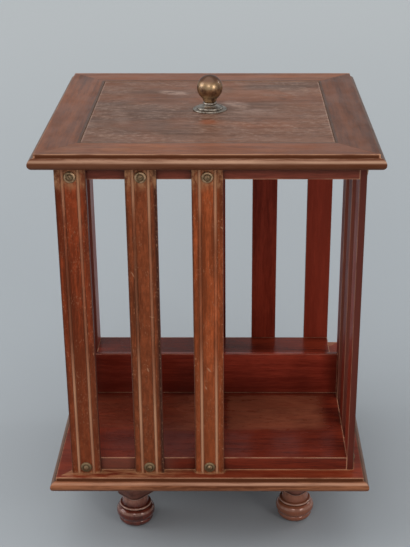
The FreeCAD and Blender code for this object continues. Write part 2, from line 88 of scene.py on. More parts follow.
# Painted highlight on the bun's shoulder, and painted light on the right feet.
SHOULDER_HIGHLIGHT = (-0.0075, -0.0055, -0.0045, -0.0032)  # above the ring
LIT_FEET = (-0.02, 0.02)                    # across the stand
SLAT_OUTSIDE = (-0.0009, -0.0005)             # outward from a slat's face
SLAT_LOWER = (0.30, 0.17)                     # above the floor
SLAT_MOTTLE = (0.30, 0.18)                    # above the floor
# Dirt and painted shade at a slat's head; painted shade along its arrises.
SLAT_HEAD_SHADE = (-0.024, -0.010)                  # above a slat's upper end
RIGHT_ARRIS_SHADE = (REED_PLACE + 0.0025, SLAT_HALF - 0.001)  # from a slat's middle
LEFT_ARRIS_SHADE = (0.0024 - SLAT_HALF, 0.0006 - SLAT_HALF)  # from a slat's middle
RIGHT_FLECKS = (SLAT_HALF - 0.0026, SLAT_HALF - 0.0016)  # from a slat's middle
SLAT_SIDE = (SLAT_HALF - 0.0008, SLAT_HALF - 0.0002)  # from a slat's middle
SIDE_SHADE = (0.26, 0.14)                     # above the floor
HALVES = (-0.002, 0.002)                      # from a slat's left half to its right
REED_CROWN = (0.0023, 0.0005)                 # from a reed's middle
REEDS_LOW = (0.29, 0.19)                      # above the floor
REEDS_HIGH, REEDS_FULL = (0.385, 0.345), 0.425  # above the floor: left and right, and full
HEAD_DUST = (-0.030, -0.014)                  # above a slat's upper end
TOE_DUST = (0.004, 0.0005)                    # above a slat's lower end
FACE_SHADE = (0.03, 0.16)                     # right of a moulded board's middle
FACE_DUST = (0.0, -0.07)                      # right of a moulded board's middle
GROOVE_DIRT = (0.0034, 0.0018)                # outward from the panel's edge
# The joint's walls are bare wood, painted lighter against their shade.
GROOVE_INSIDE = (0.0016, 0.0013)              # outward from the panel's edge
GROOVE_WALL = (-0.0002, -0.0006)              # above the face
MOULDED_FACE = (-0.004, -0.006)               # outward from the upper arris
MOULDED_EDGE = (-0.0016, -0.0008)             # outward from the upper arris
# Painted shade in the quirk's step.
QUIRK_SHADE = (0.0010, 0.0003)               # outward from the upper arris
BELOW_FACE = (-0.0008, -0.0001)               # above the face
# The upper arris is rubbed and painted as a highlight, less on the side mouldings, least on the
# right.
UPPER_ARRIS = (-0.0030, -0.0010, 0.0006, 0.0016)  # outward from the upper arris
RIGHT_SIDE = (-0.1, 0.1)                      # across the case
# The painted highlight along a moulding weakens to the right.
HIGHLIGHT_LEFT = (0.05, -0.10)                     # right of a moulded board's middle
PANEL_WARM = (0.02, 0.12)                     # towards the panel's front right corner
PANEL_DULL = (0.02, -0.07)                    # across the panel
PANEL_RIM = (-0.0026, -0.0014)                # outward from the panel's edge
# Dirt and painted shade round the knob's flange.
FLANGE_DIRT_AND_SHADE = (0.03, 0.025)                   # from the axis
# The ball's top is painted darker: a painted reflection of a dark ceiling.
BALL_DARK_TOP = (-0.0115, -0.004)                # above the ball's top
CUP_HEIGHTS = (0.35, 0.05)                    # above the floor
# The floor is painted darker near the object and lighter far off: painted light falloff.
FLOOR_FALLOFF = (0.3, 3.5)                      # from the origin
FLOOR_END = (2.2, 4.6)                        # from the origin

# Pale scuffs on the panel: middle x and y, half length, half width, turn, strength.
PANEL_MARKS = ((-0.042, 0.0725, 0.026, 0.012, -0.31, 0.75), (0.030, 0.019, 0.026, 0.015, -0.85, 0.6),
               (0.045, -0.010, 0.040, 0.020, -0.3, 0.35), (-0.095, -0.030, 0.012, 0.045, 0.2, 0.2))
WARM_SPOT, WARM_SIZE = (-0.001, -0.051), 0.013  # on the panel: middle x and y, half width
MARK_DEPTH = 0.01
# Dents in the front slats' faces: middle x and z, half length, half width, turn.
DENTS = ((-0.0646, 0.2303, 0.0036, 0.0012, 1.2), (0.0001, 0.2303, 0.0042, 0.0013, 0.9),
         (-0.0033, 0.2087, 0.0030, 0.0012, 1.1), (-0.0768, 0.3397, 0.0055, 0.0007, 1.1),
         (-0.0587, 0.2923, 0.0036, 0.0012, 0.2), (0.0144, 0.3911, 0.0028, 0.0010, 0.7))
DENT_DEPTH = 0.002

# The boards' moulded edges. crown is how much painted light the half-round's lower and upper
# halves get, the rest being painted shade. band is how strong the painted highlight along it is,
# and band_place where it starts, is full, fades and ends, as shares of the board's thickness.
# dust is how dusty its face gets to the left.
TOP_EDGE = {"crown": (0.15, 0.85), "band": 0.85, "band_place": (0.44, 0.57, 0.60, 0.72),
            "dust": 0.15}
BASE_EDGE = {"crown": (0.85, 0.8), "band": 0.95, "band_place": (0.53, 0.64, 0.69, 0.76),
             "dust": 0.6}
# The top frame's rails: how light each is, and how dark its right end gets.
RAIL_TONES = {"front": (1.0, 0.45), "right": (0.60, 0.0), "back": (0.95, 0.0), "left": (0.8, 0.0)}

# Sizes of wear and relief.
CORNER_DIRT_AND_SHADE = 0.006                           # reach of the dirt and painted shade in a corner
WAX_REACH = 0.004                             # reach of old wax in a corner
TARNISH_REACH = 0.003                         # reach of tarnish in a metal corner
PORE_DEPTH = 0.00006
METAL_DEPTH = 0.00002

# How the boards' edges are softened.
JOIN_DISTANCE = 1e-6
FLAT_ANGLE = math.radians(0.5)
ARRIS_ANGLE = math.radians(35)
SHARP_ANGLE = math.radians(38)
ARRIS_STEPS = 3

# The stage. Lamps: name, place, width and height, watts, colour.
WARM_WHITE, COOL_WHITE, PURE_WHITE = (1.0, 0.98, 0.95), (0.95, 0.98, 1.0), (1.0, 1.0, 1.0)
LAMPS = (("ceiling", (-0.4, -0.4, 2.6), (3.2, 3.2), 34, WARM_WHITE),
         ("left_window", (-2.2, -0.2, 1.25), (1.3, 1.5), 16, COOL_WHITE),
         ("right_window", (1.65, -1.95, 1.3), (0.6, 0.9), 11, WARM_WHITE),
         ("front_window", (-0.4, -2.5, 1.8), (0.8, 0.5), 7, WARM_WHITE),
         ("back_window", (1.7, 0.85, 1.35), (0.4, 0.5), 4, PURE_WHITE))
LAMP_TARGET = Vector((0.0, 0.0, 0.25))
FLOOR_HALF = 5.0


# ---------------------------------------------------------------- settings
def colour(name, description, default):
    """Return a colour property."""
    return FloatVectorProperty(name=name, description=description, default=default,
                               subtype="COLOR", size=3, min=0.0, max=1.0)


def share(name, description, default):
    """Return a property from 0 to 1."""
    return FloatProperty(name=name, description=description, default=default, min=0.0, max=1.0,
                         subtype="FACTOR")


def length(name, description, default):
    """Return a length property, in metres."""
    return FloatProperty(name=name, description=description, default=default, min=0.0,
                         unit="LENGTH", precision=4)


class WoodSettings(bpy.types.PropertyGroup):
    """Colours and polish of the mahogany"""

    sub_top: colour("Sub-top", "Dull red of the board under the top", (0.180, 0.038, 0.022))
    slat_corner: colour("Corner slats", "Red of the slats nearest a corner", (0.215, 0.037, 0.011))
    slat_middle: colour("Middle slats", "Brown of the slats between", (0.175, 0.041, 0.014))
    slat_centre: colour("Centre slats", "Faded orange of the centre slats", (0.310, 0.066, 0.019))
    slat_lower: colour("Slat foot", "Duller brown of the slats' lower ends", (0.215, 0.052, 0.018))
    # Painted shade along a slat's arrises, low on its narrow sides, and with dirt at its head.
    slat_painted_shade: colour("Slat shade", "Old dirt along one arris of a slat", (0.030, 0.010, 0.007))
    slat_side: colour("Slat side", "Narrow sides of the slats", (0.10, 0.038, 0.027))
    corner_side: colour("Corner side", "Narrow sides of the corner slats", (0.052, 0.0225, 0.0185))
    inner_light: colour("Inner light", "Lightest grain inside the case", (0.26, 0.034, 0.017))
    inner_dark: colour("Inner dark", "Darkest grain inside the case", (0.115, 0.0125, 0.0065))
    frame_light: colour("Frame light", "Lightest grain of the top frame", (0.235, 0.078, 0.033))
    frame_dark: colour("Frame dark", "Darkest grain of the top frame", (0.10, 0.036, 0.020))
    panel_light: colour("Panel light", "Faded grain of the panel", (0.17, 0.090, 0.060))
    panel_dark: colour("Panel dark", "Darkest grain of the panel", (0.075, 0.036, 0.023))
    # Mouldings and the base's edge: crowns rubbed and painted as lit, painted shade below and in the
    # quirk, a painted highlight along them, painted shade on the side mouldings.
    moulding_lit: colour("Moulding light", "Rubbed crown of the mouldings", (0.31, 0.165, 0.103))
    moulding_dark: colour("Moulding dark", "Shaded side of the mouldings", (0.10, 0.029, 0.011))
    moulding_highlight: colour("Moulding band", "Rubbed line of the mouldings", (0.52, 0.310, 0.205))
    base_lit_crown: colour("Base crown", "Rubbed crown of the base's edge", (0.33, 0.125, 0.058))
    base_highlight: colour("Base band", "Rubbed line of the base's edge", (0.50, 0.265, 0.170))
    side_moulding_shade: colour("Moulding side", "Old dirt on the side mouldings", (0.080, 0.047, 0.033))
    joint: colour("Joint", "Dirt round the panel", (0.062, 0.031, 0.019))
    # Painted light: the bare wood inside the joint is painted lighter against the joint's shade.
    joint_wall_lit: colour("Joint wall", "Bare wood inside the joint", (0.30, 0.200, 0.150))
    ledge_light: colour("Ledge light", "Lightest grain of the base ledge", (0.22, 0.031, 0.011))
    ledge_dark: colour("Ledge dark", "Darkest grain of the base ledge", (0.11, 0.014, 0.006))
    plinth_light: colour("Floor light", "Lightest grain of the compartments' floor",
                         (0.190, 0.0250, 0.0105))
    plinth_dark: colour("Floor dark", "Darkest grain of the compartments' floor",
                        (0.070, 0.0100, 0.0060))
    # The pale ring colour also paints the highlight on the feet's shoulders.
    stand_ring: colour("Foot ring", "Rubbed rings of the feet", (0.44, 0.260, 0.190))
    stand_light: colour("Stand light", "Lightest grain of the feet", (0.13, 0.024, 0.013))
    stand_dark: colour("Stand dark", "Darkest grain of the feet", (0.035, 0.008, 0.005))
    # Painted light: the right feet are painted lighter.
    stand_lit: colour("Stand faded", "Sun-faded wood of the right feet", (0.42, 0.150, 0.075))
    stand_worn: colour("Stand worn", "Dulled polish of the stand", (0.30, 0.130, 0.090))
    reed: colour("Reed", "Rubbed and waxed reeds", (0.46, 0.230, 0.130))
    scuff: colour("Scuff", "Fine rubbing all over the panel", (0.33, 0.220, 0.165))
    scratch: colour("Scratch", "Pale scuffs on the panel", (0.38, 0.255, 0.200))
    warm_spot: colour("Warm spot", "Bare spot in front of the knob", (0.23, 0.060, 0.022))
    # The worn edge colour is wear and also a painted highlight along the arrises.
    edge_wear_and_highlight: colour("Worn edge", "Bare wood where an edge is rubbed", (0.56, 0.290, 0.170))
    # Grime is dirt and also painted shade: in the corners, under the top frame and round the flange.
    grime_and_shade: colour("Grime", "Dirt in the corners", (0.022, 0.010, 0.007))
    book_worn: colour("Book wear", "Polish dulled where books stand", (0.290, 0.088, 0.044))
    dust: colour("Dust", "Dust and old wax where no cloth reaches", (0.42, 0.200, 0.095))
    sheen: colour("Polish tint", "Tint of the polish's reflections", (1.0, 0.50, 0.40))
    arris: length("Arris", "Softening of the boards' sharp edges", 0.0004)
    wear: share("Wear", "How far the edges are rubbed", 0.85)


class MetalSettings(bpy.types.PropertyGroup):
    """Colours of the metal fittings"""

    ball: colour("Ball", "Aged brass of the knob's ball", (0.47, 0.300, 0.160))
    # The ball's patina colour also paints a dark reflection over its top.
    ball_dark: colour("Ball patina", "Patina on the ball", (0.13, 0.062, 0.035))
    flange: colour("Flange", "Tarnished metal of the flange", (0.36, 0.310, 0.260))
    flange_dark: colour("Flange patina", "Patina on the flange", (0.13, 0.105, 0.085))
    cup: colour("Cup washer", "Brass of the screws and cup washers", (0.56, 0.350, 0.205))
    cup_dark: colour("Cup patina", "Patina on the screws and cup washers", (0.21, 0.145, 0.080))
    bush: colour("Bush", "Clean brass of the bushes", (0.62, 0.430, 0.170))
    steel: colour("Steel", "Steel of the spindle and hidden screws", (0.36, 0.350, 0.340))


class StageSettings(bpy.types.PropertyGroup):
    """Camera, lamps and floor"""

    camera_place: FloatVectorProperty(name="Camera", description="Where the camera stands",
                                      default=(0.025043, -1.268141, 0.80944),
                                      subtype="TRANSLATION", unit="LENGTH", size=3)
    camera_tilt: FloatProperty(name="Tilt", description="Camera's fall below level",
                               default=math.radians(23.854), unit="ROTATION")
    camera_turn: FloatProperty(name="Turn", description="Camera's turn to the left",
                               default=math.radians(0.204), unit="ROTATION")
    camera_roll: FloatProperty(name="Roll", description="Camera's roll about its own axis",
                               default=math.radians(-0.057), unit="ROTATION")
    lens: FloatProperty(name="Lens", description="Focal length in millimetres", default=77.466,
                        min=1.0)
    shift_x: FloatProperty(name="Shift across", description="Lens shift across", default=-0.04334)
    shift_y: FloatProperty(name="Shift up", description="Lens shift up", default=0.03664)
    # Painted light falloff: the floor is painted darker near the object and lighter far off.
    floor_near: colour("Floor near", "Floor round the object", (0.36, 0.385, 0.405))
    floor_far: colour("Floor far", "Floor a few metres off", (0.66, 0.685, 0.69))
    backdrop: colour("Backdrop", "What the camera sees past the floor", (0.485, 0.515, 0.530))
    sky: colour("Sky", "Colour of the light from all round", (0.93, 0.965, 1.0))
    sky_strength: FloatProperty(name="Sky strength", description="Light from all round",
                                default=0.62, min=0.0)
    lamp_power: FloatProperty(name="Lamp power", description="Strength of all the lamps",
                              default=1.0, min=0.0)


# ---------------------------------------------------------------- finishes
def beyond(base, *steps):
    """Return places so far past a base, or short of it where a step is negative."""
    return tuple(base + step for step in steps)


class Finish:
    """One material, built up node by node on a Principled shader.

    A wooden one keeps the colour and pores of its wood, and is painted layer by layer."""

    def __init__(self, name, grain=ALONG_Z, turn=0.0):
        self.material = bpy.data.materials.new(name)
        self.material.use_nodes = True
        self.tree = self.material.node_tree
        self.tree.nodes.clear()
        self.shader = self.node("ShaderNodeBsdfPrincipled")
        self.output = self.node("ShaderNodeOutputMaterial")
        self.join(self.shader.outputs["BSDF"], self.output.inputs["Surface"])
        self.grain = grain
        self.turn = turn
        self.wood = None
        self.pores = None
        self.place = self.node("ShaderNodeTexCoord").outputs["Object"]
        self.own = self.times(self.node("ShaderNodeObjectInfo").outputs["Random"], 40.0)

    def node(self, kind, **settings):
        """Return a new node with its settings."""
        node = self.tree.nodes.new(kind)
        for key, value in settings.items():
            setattr(node, key, value)
        return node

    def join(self, value, socket):
        """Feed a socket from another one, or set it."""
        if isinstance(value, bpy.types.NodeSocket):
            self.tree.links.new(value, socket)
        else:
            socket.default_value = value

    def set(self, **values):
        """Set or feed the shader's sockets."""
        for key, value in values.items():
            name = key.replace("_", " ").title().replace("Ior", "IOR")
            self.join(value, self.shader.inputs[name])

    def sum(self, operation, a, b=0.0, clamp=False):
        """Return the result of one sum."""
        node = self.node("ShaderNodeMath", operation=operation, use_clamp=clamp)
        self.join(a, node.inputs[0])
        self.join(b, node.inputs[1])
        return node.outputs[0]

    def times(self, value, *others):
        """Return a product."""
        for other in others:
            value = self.sum("MULTIPLY", value, other)
        return value

    def add(self, a, b, clamp=False):
        """Return two values added up."""
        return self.sum("ADD", a, b, clamp)

    def less(self, a, b, clamp=False):
        """Return a value less another."""
        return self.sum("SUBTRACT", a, b, clamp)

    def most(self, a, b):
        """Return the larger of two values."""
        return self.sum("MAXIMUM", a, b)

    def size(self, value):
        """Return a value without its sign."""
        return self.sum("ABSOLUTE", value)

    def between(self, value, low, high, start=0.0, end=1.0):
        """Return a smooth step from start to end while value goes from low to high."""
        node = self.node("ShaderNodeMapRange", interpolation_type="SMOOTHSTEP")
        for socket, given in zip(node.inputs, (value, low, high, start, end)):
            self.join(given, socket)
        return node.outputs[0]

    def band(self, value, starts, full, fades, ends):
        """Return 1 while value is between full and fades, and 0 outside starts and ends."""
        return self.times(self.between(value, starts, full), self.between(value, ends, fades))

    def blend(self, factor, a, b):
        """Return colour a turned into colour b by a factor."""
        node = self.node("ShaderNodeMix", data_type="RGBA", blend_type="MIX")
        self.join(factor, node.inputs[0])
        for given, socket in ((a, node.inputs[6]), (b, node.inputs[7])):
            self.join(given if isinstance(given, bpy.types.NodeSocket) else (*given, 1.0), socket)
        return node.outputs[2]

    def paint(self, tone, *masks):
        """Paint the wood in a tone, as far as the product of the masks says."""
        self.wood = self.blend(self.times(*masks), self.wood, tone)

    @cached_property
    def axes(self):
        """A point's x, y and z."""
        node = self.node("ShaderNodeSeparateXYZ")
        self.join(self.place, node.inputs[0])
        return node.outputs

    @cached_property
    def reach(self):
        """How far a point of the square case lies from the axis, square to the faces."""
        x, y, _ = self.axes
        return self.most(self.size(x), self.size(y))

    @cached_property
    def on_side(self):
        """1 on the left and right faces of the square case, and 0 on the others."""
        x, y, _ = self.axes
        return self.sum("GREATER_THAN", self.size(x), self.size(y))

    @cached_property
    def along_face(self):
        """How far a point lies right of its face's middle, seen from outside."""
        x, y, _ = self.axes
        front = self.times(x, self.sum("SIGN", y))
        side = self.times(y, self.sum("SIGN", x))
        return self.less(self.times(self.on_side, self.add(side, front)), front)

    def noise(self, across, along=None, detail=3.0, rough=0.55, seed=0.0):
        """Return noise with so many features to the metre across and along the grain."""
        scale = [1 / across] * 3
        if along:
            scale[self.grain] = 1 / along
        mapping = self.node("ShaderNodeMapping", vector_type="TEXTURE")
        mapping.inputs["Rotation"].default_value = (0.0, 0.0, self.turn)
        mapping.inputs["Scale"].default_value = scale
        self.join(self.place, mapping.inputs["Vector"])
        noise = self.node("ShaderNodeTexNoise", noise_dimensions="4D")
        self.join(mapping.outputs[0], noise.inputs["Vector"])
        self.join(self.add(self.own, seed), noise.inputs["W"])
        self.join(1.0, noise.inputs["Scale"])
        self.join(detail, noise.inputs["Detail"])
        self.join(rough, noise.inputs["Roughness"])
        return noise.outputs[0]

    def patches(self, across, along, seed, cut, least=0.0, most=1.0, **kind):
        """Return patches of noise: least where it is under the cut, and most above it."""
        return self.between(self.noise(across, along, seed=seed, **kind), *cut, least, most)

    def patch(self, place, size, turn=(0.0, 0.0, 0.0)):
        """Return a soft-edged oval mark, 1 in its middle."""
        mapping = self.node("ShaderNodeMapping", vector_type="TEXTURE")
        mapping.inputs["Location"].default_value = place
        mapping.inputs["Rotation"].default_value = turn
        mapping.inputs["Scale"].default_value = size
        self.join(self.place, mapping.inputs["Vector"])
        return self.between(self.length(mapping.outputs[0]), 1.0, 0.35)

    def length(self, vector):
        """Return a vector's length."""
        node = self.node("ShaderNodeVectorMath", operation="LENGTH")
        self.join(vector, node.inputs[0])
        return node.outputs["Value"]

    def edges(self, width):
        """Return 1 on the piece's outer edges and 0 away from them."""
        node = self.node("ShaderNodeAmbientOcclusion", samples=8, inside=True, only_local=True)
        self.join(width, node.inputs["Distance"])
        return self.between(node.outputs["AO"], 0.95, 0.55)

    def corners(self, width):
        """Return 1 deep in the corners and 0 in the open."""
        node = self.node("ShaderNodeAmbientOcclusion", samples=8)
        self.join(width, node.inputs["Distance"])
        return self.between(node.outputs["AO"], 0.9, 0.3)

    def relief(self, height, depth):
        """Return the normal of a relief so deep."""
        node = self.node("ShaderNodeBump")
        self.join(1.0, node.inputs["Strength"])
        self.join(depth, node.inputs["Distance"])
        self.join(height, node.inputs["Height"])
        return node.outputs[0]

    def mahogany(self, dark, light, strength=1.0):
        """Return mahogany's colour and pores: broad figure, ribbon streaks, short dark pores."""
        figure = self.times(self.noise(38, 3.5, detail=2.0), 0.38)
        ribbon = self.times(self.noise(170, 9, seed=3.0), 0.34)
        fine = self.times(self.noise(600, 60, rough=0.65, seed=7.0), 0.28)
        mixed = self.add(figure, self.add(ribbon, fine))
        contrast = 0.12 / strength
        wood = self.blend(self.between(mixed, 0.5 - contrast, 0.5 + contrast), dark, light)
        pores = self.patches(1500, 110, 11.0, (0.60, 0.70), detail=1.0)
        return self.blend(self.times(pores, 0.5), wood, dark), pores

    def start(self, dark, light, strength=1.0):
        """Start with bare mahogany."""
        self.wood, self.pores = self.mahogany(dark, light, strength)


def polish(finish, settings, roughness, coat=0.0, dirt=0.5, wear=1.0, edge=0.0015, gloss=0.4,
           dull=0.0):
    """Finish the wood: corner dirt and painted shade, rubbed edges with painted highlights, pores in
    the polish.
    """
    # Dirt and painted shade: the corners are darkened towards black.
    finish.paint(settings.grime_and_shade, finish.corners(CORNER_DIRT_AND_SHADE), dirt)
    # Rubbed edges, which also stand in for the highlights along the arrises.
    rubbed = finish.times(finish.edges(edge), finish.patches(170, 45, 17.0, (0.30, 0.56), 0.25))
    edge_wear_and_highlight = finish.times(rubbed, finish.times(wear, settings.wear))
    finish.paint(settings.edge_wear_and_highlight, edge_wear_and_highlight)
    cloud = finish.patches(55, 25, 23.0, (0.35, 0.7), roughness, roughness + 0.12)
    finish.set(base_color=finish.wood,
               roughness=finish.add(finish.add(dull, cloud), finish.times(edge_wear_and_highlight, 0.25), clamp=True),
               normal=finish.relief(finish.less(1.0, finish.pores), PORE_DEPTH),
               coat_weight=coat, coat_roughness=0.08, specular_ior_level=gloss,
               specular_tint=(*settings.sheen, 1.0))


def case_wood(name, settings, grain, tone=1.0):
    """Return the dark red polish of the boards inside the case, with painted shade at feet and ends.
    """
    finish = Finish(name, grain)
    finish.start(settings.inner_dark * tone, settings.inner_light * tone, 0.95)
    # Painted shade towards the feet and the outer ends.
    low = finish.between(finish.axes[2], *beyond(PLINTH_TOP, *DIVIDER_FOOT_SHADE), end=0.45)
    outer = finish.between(finish.reach, *DIVIDER_END_SHADE, end=0.5)
    finish.paint(settings.inner_dark * 0.6, finish.most(low, outer))
    polish(finish, settings, 0.09, coat=0.15)
    return finish.material


def sub_top_wood(settings):
    """Return the sub-top's duller, browner polish, with painted shade under the top frame."""
    finish = Finish("sub_top_mahogany", ALONG_X)
    finish.start(settings.sub_top * 0.6, settings.sub_top * 1.4)
    # Painted shade: the sub-top darkens under the top frame's overhang.
    shaded = finish.between(finish.axes[2], *beyond(RAIL_BOTTOM, *UNDER_RAIL_SHADE), end=0.75)
    finish.paint(settings.grime_and_shade, shaded)
    polish(finish, settings, 0.3, wear=0.8)
    return finish.material


def floor_board_wood(settings):
    """Return the compartments' floor: the case's polish, dulled where books stand, painted shade on
    the left.
    """
    finish = Finish("plinth_mahogany", ALONG_X)
    finish.start(settings.plinth_dark, settings.plinth_light)
    x, y, _ = finish.axes
    off_middle = finish.size(y)
    # Painted shade in patches on the left of the floor.
    left_shade = finish.patches(40, 20, 83.0, (0.3, 0.6), 0.1, 0.6)
    finish.paint(settings.plinth_dark, left_shade, finish.between(x, *FLOOR_SHADE))
    ragged = finish.times(finish.noise(60, 14, seed=73.0), 0.03)
    scuffed = finish.patches(240, 70, 29.0, (0.3, 0.65), 0.35, 0.75, detail=4.0, rough=0.65)
    off_strip = finish.size(finish.less(x, UNWORN_STRIP))
    # Dulled where books stand; the wear weakens to the left as painted shade.
    stood_on = finish.times(finish.between(finish.add(off_middle, ragged), *BOOKS_DEPTH), scuffed,
                            finish.between(x, *BOOKS_SHADE_LEFT, start=0.25),
                            finish.between(off_strip, *STRIP_GAP, start=0.15),
                            finish.between(x, *BOOKS_RIGHT),
                            finish.between(off_middle, *BOOKS_GAP))
    finish.paint(settings.book_worn, stood_on)
    rim = finish.between(finish.reach, *beyond(PLINTH_EDGE, *FLOOR_RIM))
    finish.paint(settings.stand_ring, rim, finish.between(x, *RIM_DUST, 0.02, 0.14))
    polish(finish, settings, 0.16, gloss=0.12, dull=finish.times(stood_on, 0.25))
    return finish.material


def stand_wood(name, settings, grain, turn=0.0):
    """Return the dark polish of the cross base."""
    finish = Finish(name, grain, turn)
    finish.start(settings.stand_dark, settings.stand_light)
    height = finish.axes[2]
    dusty = finish.patches(90, 30, 29.0, (0.3, 0.65), 0.15, 0.55, detail=4.0)
    finish.paint(settings.stand_worn, dusty)
    shaded = finish.between(height, *beyond(BAR_BOTTOM, *BAR_SHADE), end=0.75)
    finish.paint(settings.stand_dark, shaded)
    finish.paint(settings.stand_ring, finish.band(height, *beyond(BAR_BOTTOM, *BAR_ARRIS)),
                 finish.patches(150, 60, 61.0, (0.3, 0.6), 0.5))
    polish(finish, settings, 0.26, coat=0.12, wear=0.15, edge=0.001)
    return finish.material


def foot_wood(settings):
    """Return the feet's dark glossy polish, rubbed on the ring, dull on the neck, with a painted
    highlight on the bun's shoulder and painted light on the right feet.
    """
    finish = Finish("foot_mahogany", ALONG_Z)
    finish.start(settings.stand_dark, settings.stand_light)
    x, _, height = finish.axes
    speckled = finish.noise(240, 90, detail=4.0, seed=29.0)
    finish.paint(settings.stand_worn, finish.between(height, *beyond(FOOT_RING, *FOOT_NECK)),
                 finish.between(speckled, 0.3, 0.65, 0.45, 0.95))
    # Painted light on the right feet.
    finish.paint(settings.stand_lit, finish.between(x, *LIT_FEET, end=0.45))
    ring = finish.times(finish.band(height, *beyond(FOOT_RING, *RING_CREST)),
                        finish.between(speckled, 0.3, 0.6, 0.45, 0.9))
    # Painted highlight on the bun's shoulder.
    shoulder_highlight = finish.times(finish.band(height, *beyond(FOOT_RING, *SHOULDER_HIGHLIGHT)),
                            finish.between(speckled, 0.3, 0.65, 0.1, 0.45))
    finish.paint(settings.stand_ring, finish.most(ring, shoulder_highlight))
    polish(finish, settings, 0.13, coat=0.6, wear=0.3, edge=0.0008, gloss=0.5)
    return finish.material


def slat_wood(place, settings, tone, side_tone, shade, rubbing, inner_tone):
    """Return the slats' finish: faded outside with rubbed reeds, dark red inside, painted shade
    along the arrises and at the head.

    shade is how much painted shade darkens a slat's right arris, rubbing how far its right reed is
    rubbed along its middle, and inner_tone how light its inner face is."""
    finish = Finish("slat_mahogany_" + place, ALONG_Z)
    height = finish.axes[2]
    rightward = finish.add(finish.along_face, SLAT_PLACE[place])
    across = finish.size(rightward)

    finish.start(tone * 0.52, tone * 1.42, 1.6)
    finish.paint(settings.slat_lower, finish.between(height, *SLAT_LOWER, end=0.6))
    mottled = finish.patches(330, 120, 53.0, (0.36, 0.62), detail=4.0, rough=0.65)
    finish.paint(tone * 0.5, mottled, finish.between(height, *SLAT_MOTTLE, 0.5, 0.6))
    # Dirt and painted shade at the slat's head, under the top's overhang.
    head_shade = finish.between(height, *beyond(SLAT_TOP, *SLAT_HEAD_SHADE), end=0.35)
    finish.paint(settings.slat_painted_shade, head_shade)
    # Painted shade along the right and left arrises.
    finish.paint(settings.slat_painted_shade,
                 finish.most(finish.between(rightward, *RIGHT_ARRIS_SHADE, end=shade),
                             finish.between(rightward, *LEFT_ARRIS_SHADE, end=0.6)))

    off_reed = finish.size(finish.less(across, REED_PLACE))
    reeds = finish.times(finish.between(off_reed, *REED_CROWN),
                         finish.patches(120, 9, 31.0, (0.34, 0.56), 0.5))
    rubbed = finish.most(finish.between(height, *REEDS_LOW, end=0.95),
                         finish.between(rightward, *HALVES, 0.15, rubbing))
    rubbed_to = finish.between(rightward, *HALVES, *REEDS_HIGH)
    rubbed = finish.most(finish.between(height, rubbed_to, REEDS_FULL, end=0.85), rubbed)
    finish.paint(settings.reed, reeds, rubbed)

    ends = finish.most(finish.between(height, *beyond(SLAT_TOP, *HEAD_DUST)),
                       finish.between(height, *beyond(SLAT_BOTTOM, *TOE_DUST)))
    speckled = finish.patches(260, 120, 37.0, (0.40, 0.60), 0.1, 0.75, detail=4.0, rough=0.7)
    finish.paint(settings.dust, ends, speckled)
    clusters = finish.most(finish.patches(90, 50, 67.0, (0.42, 0.62), 0.1, 0.6, detail=2.0),
                           finish.between(rightward, *RIGHT_FLECKS, end=0.8))
    finish.paint(settings.reed, finish.patches(900, 420, 41.0, (0.56, 0.68), rough=0.7), clusters)
    if place != "corner":
        for x, z, long, wide, turn in DENTS:
            dent = finish.patch((x, -SLAT_FACE, z), (long, DENT_DEPTH, wide), (0.0, turn, 0.0))
            finish.paint(settings.reed, dent, 0.6)

    inner, _ = finish.mahogany(settings.inner_dark, settings.inner_light)
    inner = finish.blend(inner_tone, inner, settings.inner_light)
    outside = finish.between(finish.reach, *beyond(SLAT_FACE, *SLAT_OUTSIDE))
    finish.wood = finish.blend(outside, inner, finish.wood)
    side_wood = finish.blend(finish.between(height, *SIDE_SHADE, end=0.6), side_tone,
                             settings.slat_painted_shade)
    finish.paint(side_wood, finish.between(across, *SLAT_SIDE), 0.7)
    polish(finish, settings, 0.33, dirt=0.12, wear=0.55, edge=0.0009, gloss=0.2)
    return finish.material


def moulding_colour(finish, settings, bottom, top, edge, lit_tone, highlight_tone):
    """Return a board's moulded edge, with painted light, shade and highlight on it."""
    height = finish.axes[2]
    thickness = top - bottom
    wood, _ = finish.mahogany(settings.moulding_dark, lit_tone, 1.5)
    # Painted light on the half-round's upper half, painted shade on its lower half and underside.
    painted_light = finish.times(finish.between(height, bottom + 0.42 * thickness, bottom + 0.68 * thickness,
                                      *edge["crown"]),
                       finish.between(height, bottom + 0.04 * thickness, bottom + 0.30 * thickness,
                                      start=0.25))
    # Painted shade in the quirk's step.
    step = finish.between(finish.reach, *beyond(ARRIS_REACH, *QUIRK_SHADE))
    wood = finish.blend(finish.less(painted_light, step, clamp=True), settings.moulding_dark, wood)
    # Painted highlight along the half-round, stronger to the left.
    rubbed = finish.times(
        finish.band(height, *(bottom + part * thickness for part in edge["band_place"])),
        finish.patches(200, 14, 61.0, (0.3, 0.6), 0.45),
        finish.between(finish.along_face, *HIGHLIGHT_LEFT, 0.85, 0.6), edge["band"])
    wood = finish.blend(rubbed, wood, highlight_tone)
    # Painted shade on the side mouldings.
    return finish.blend(finish.times(finish.on_side, 0.8), wood, settings.side_moulding_shade)


